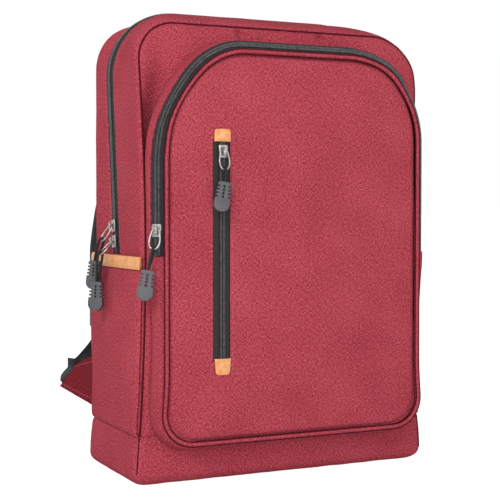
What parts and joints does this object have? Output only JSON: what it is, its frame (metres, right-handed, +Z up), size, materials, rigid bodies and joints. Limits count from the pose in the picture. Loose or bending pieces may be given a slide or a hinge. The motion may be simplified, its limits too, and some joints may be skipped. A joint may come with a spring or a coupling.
{
  "type": "travel backpack",
  "caption": "Upright travel backpack in heathered red cloth with a front pocket, zips with sliders and rubber pulls, a forward-folding lid, side pockets and padded straps.",
  "frame": {"origin": "middle of the flat underside of the base", "axes": "+Z up, front of the bag towards -Y, wearer's back towards +Y, +X to the right seen from the front"},
  "size_m": [0.3291, 0.2547, 0.4454],
  "materials": {
    "red_melange_cloth": "heathered plain weave",
    "black_zip_tape": "woven tape with a nylon coil",
    "tan_leather": "smooth, stitched",
    "nickel_metal": "bright nickel plate",
    "black_cord": "braided",
    "grey_rubber": "moulded, matt",
    "black_air_mesh": "spacer mesh over foam",
    "black_webbing": "ribbed webbing",
    "black_plastic": "moulded acetal",
    "black_lining": "smooth lining cloth"
  },
  "bodies": {
    "bag": {"back_pad_left": "black_air_mesh", "back_pad_right": "black_air_mesh", "back_panel": "black_air_mesh", "base_panel": "red_melange_cloth", "front_gusset_left": "red_melange_cloth", "front_gusset_right": "red_melange_cloth", "front_panel": "red_melange_cloth", "ladder_lock_left": "black_plastic", "ladder_lock_right": "black_plastic", "main_zip_front_left": "black_zip_tape", "main_zip_front_right": "black_zip_tape", "main_zip_rear": "black_zip_tape", "pocket_gusset": "red_melange_cloth", "pocket_panel": "red_melange_cloth", "pocket_piping": "red_melange_cloth", "pocket_zip_left": "black_zip_tape", "pocket_zip_right": "black_zip_tape", "quick_pouch": "black_lining", "quick_tab_bottom": "tan_leather", "quick_tab_top": "tan_leather", "quick_zip": "black_zip_tape", "rear_gusset": "red_melange_cloth", "shoulder_strap_left": "black_air_mesh", "shoulder_strap_right": "black_air_mesh", "side_binding_left": "tan_leather", "side_binding_right": "tan_leather", "side_panel_left": "red_melange_cloth", "side_panel_right": "red_melange_cloth", "side_pocket_left": "red_melange_cloth", "side_pocket_right": "red_melange_cloth", "strap_webbing_left": "black_webbing", "strap_webbing_right": "black_webbing", "strap_wing_left": "red_melange_cloth", "strap_wing_right": "red_melange_cloth"},
    "lid": {"lid_gusset": "red_melange_cloth", "lid_panel": "red_melange_cloth", "main_zip_lid": "black_zip_tape", "lid_pocket_gusset": "red_melange_cloth", "pocket_zip_rear": "black_zip_tape"},
    "flap": {"flap_panel": "red_melange_cloth", "flap_piping": "red_melange_cloth", "pocket_zip_front": "black_zip_tape"},
    "handle": {"haul_handle": "black_webbing"},
    "main_lower_slider": {"slider_main_lower": "nickel_metal"},
    "main_lower_ring": {"ring_main_lower": "nickel_metal"},
    "main_lower_pull": {"cord_main_lower": "black_cord", "grip_main_lower": "grey_rubber"},
    "main_upper_slider": {"slider_main_upper": "nickel_metal"},
    "main_upper_ring": {"ring_main_upper": "nickel_metal"},
    "main_upper_pull": {"cord_main_upper": "black_cord", "grip_main_upper": "grey_rubber"},
    "pocket_slider": {"slider_pocket": "nickel_metal"},
    "pocket_ring": {"ring_pocket": "nickel_metal"},
    "pocket_pull": {"cord_pocket": "black_cord", "grip_pocket": "grey_rubber"},
    "quick_slider": {"slider_quick": "nickel_metal"},
    "quick_ring": {"ring_quick": "nickel_metal"},
    "quick_pull": {"cord_quick": "black_cord", "grip_quick": "grey_rubber"}
  },
  "joints": [
    {"name": "lid_fold", "type": "hinge", "parent": "bag", "child": "lid", "pos_m": [0, -0.113, 0.338], "axis": [1, 0, 0], "range_deg": [0, 50]},
    {"name": "flap_fold", "type": "hinge", "parent": "lid", "child": "flap", "pos_m": [0, -0.113, 0.338], "axis": [1, 0, 0], "range_deg": [0, 60]},
    {"name": "handle_swing", "type": "hinge", "parent": "bag", "child": "handle", "pos_m": [0, 0.0686, 0.39874], "axis": [1, 0, 0], "range_deg": [0, 128]},
    {"name": "main_lower_slide", "type": "slide", "parent": "bag", "child": "main_lower_slider", "axis": [0, 0.1139, 0.9935], "range_m": [0, 0.003]},
    {"name": "main_lower_ring_lift", "type": "hinge", "parent": "main_lower_slider", "child": "main_lower_ring", "pos_m": [-0.152, -0.01168, 0.2235], "axis": [0, 1, -0.0095], "range_deg": [0, 25]},
    {"name": "main_lower_pull_swing", "type": "hinge", "parent": "main_lower_ring", "child": "main_lower_pull", "pos_m": [-0.16374, -0.0118, 0.21134], "axis": [0, 1, -0.0095], "range_deg": [0, 40]},
    {"name": "main_upper_slide", "type": "slide", "parent": "bag", "child": "main_upper_slider", "axis": [0, 0.1139, 0.9935], "range_m": [0, 0.092]},
    {"name": "main_upper_ring_lift", "type": "hinge", "parent": "main_upper_slider", "child": "main_upper_ring", "pos_m": [-0.152, -0.00996, 0.2385], "axis": [0, 0.9638, 0.2665], "range_deg": [0, 80]},
    {"name": "main_upper_pull_swing", "type": "hinge", "parent": "main_upper_ring", "child": "main_upper_pull", "pos_m": [-0.16045, -0.00606, 0.22439], "axis": [0.0731, 0.731, 0.6785], "range_deg": [0, 40]},
    {"name": "pocket_slide", "type": "slide", "parent": "bag", "child": "pocket_slider", "axis": [0, 0, 1], "range_m": [0, 0.078]},
    {"name": "pocket_ring_lift", "type": "hinge", "parent": "pocket_slider", "child": "pocket_ring", "pos_m": [-0.14236, -0.10336, 0.2355], "axis": [-0.7773, 0.6269, 0.0523], "range_deg": [0, 80]},
    {"name": "pocket_pull_swing", "type": "hinge", "parent": "pocket_ring", "child": "pocket_pull", "pos_m": [-0.14595, -0.10646, 0.21928], "axis": [-0.6931, 0.6198, 0.368], "range_deg": [0, 40]},
    {"name": "quick_slide", "type": "slide", "parent": "bag", "child": "quick_slider", "axis": [0, 0, -1], "range_m": [0, 0.18]},
    {"name": "quick_ring_lift", "type": "hinge", "parent": "quick_slider", "child": "quick_ring", "pos_m": [-0.08, -0.11338, 0.30705], "axis": [-0.9986, 0, 0.0523], "range_deg": [0, 80]},
    {"name": "quick_pull_swing", "type": "hinge", "parent": "quick_ring", "child": "quick_pull", "pos_m": [-0.08087, -0.11689, 0.29054], "axis": [-1, -0.0072, 0.001], "range_deg": [0, 40]}
  ]
}
